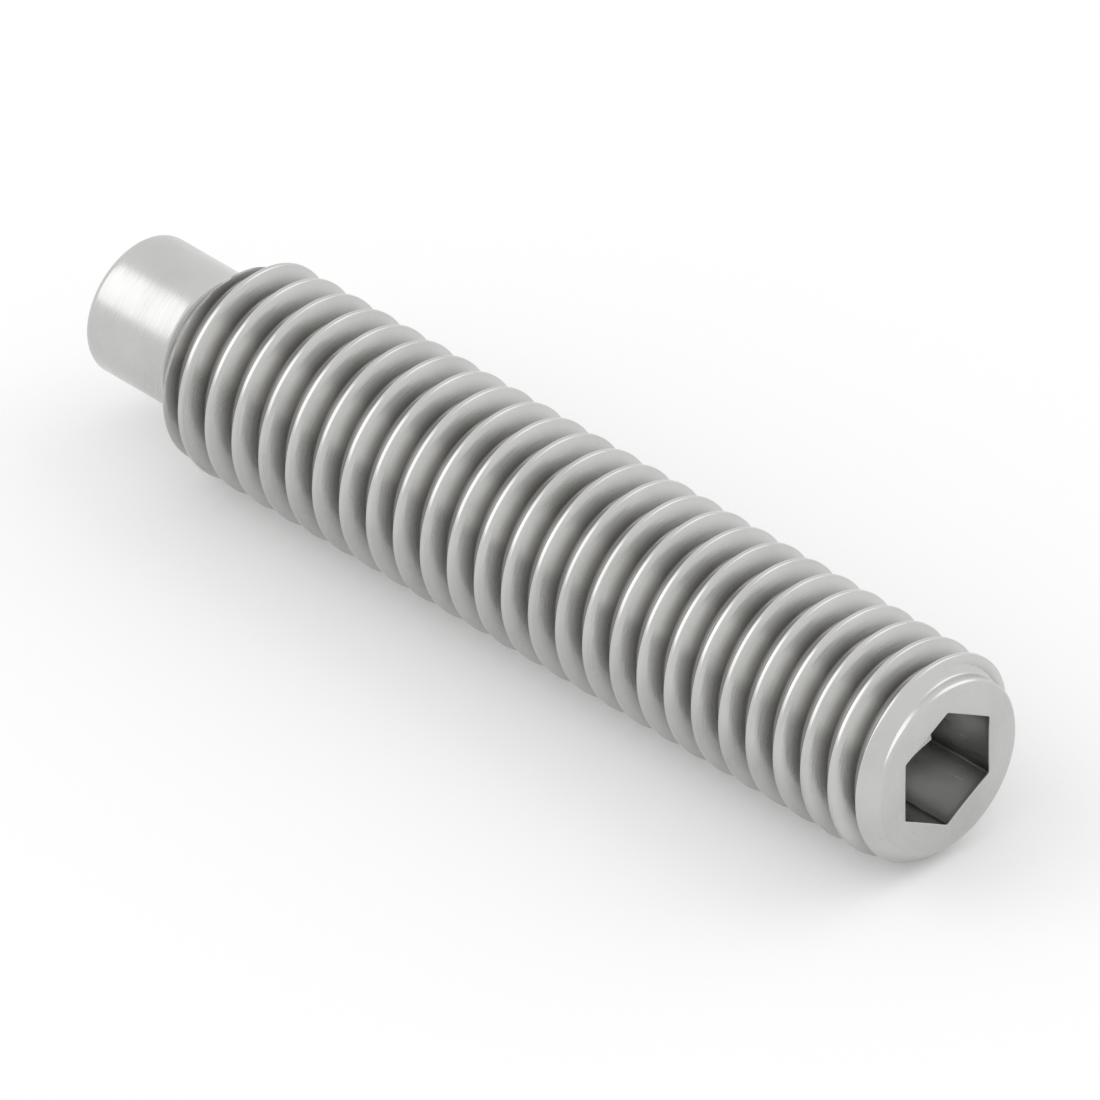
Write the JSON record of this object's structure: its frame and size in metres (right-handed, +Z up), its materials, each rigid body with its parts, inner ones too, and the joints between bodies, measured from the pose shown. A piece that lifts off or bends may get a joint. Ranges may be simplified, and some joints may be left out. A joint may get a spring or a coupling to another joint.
{
  "type": "grub set screw",
  "caption": "Headless metric set screw: full-length right-hand thread, hexagon socket in one end, plain dog point on the other.",
  "frame": {"origin": "on the screw's axis, at the centre of the dog point's end face", "axes": "+X along the axis towards the socket, +Z up with the screw lying on its thread, two corners of the hexagon on the Z axis"},
  "size_m": [0.03, 0.006, 0.006],
  "materials": {
    "steel": "bright rolled thread, fine turning marks on the dog point and the ends"
  },
  "bodies": {
    "root": {"set_screw": "steel"}
  },
  "joints": []
}
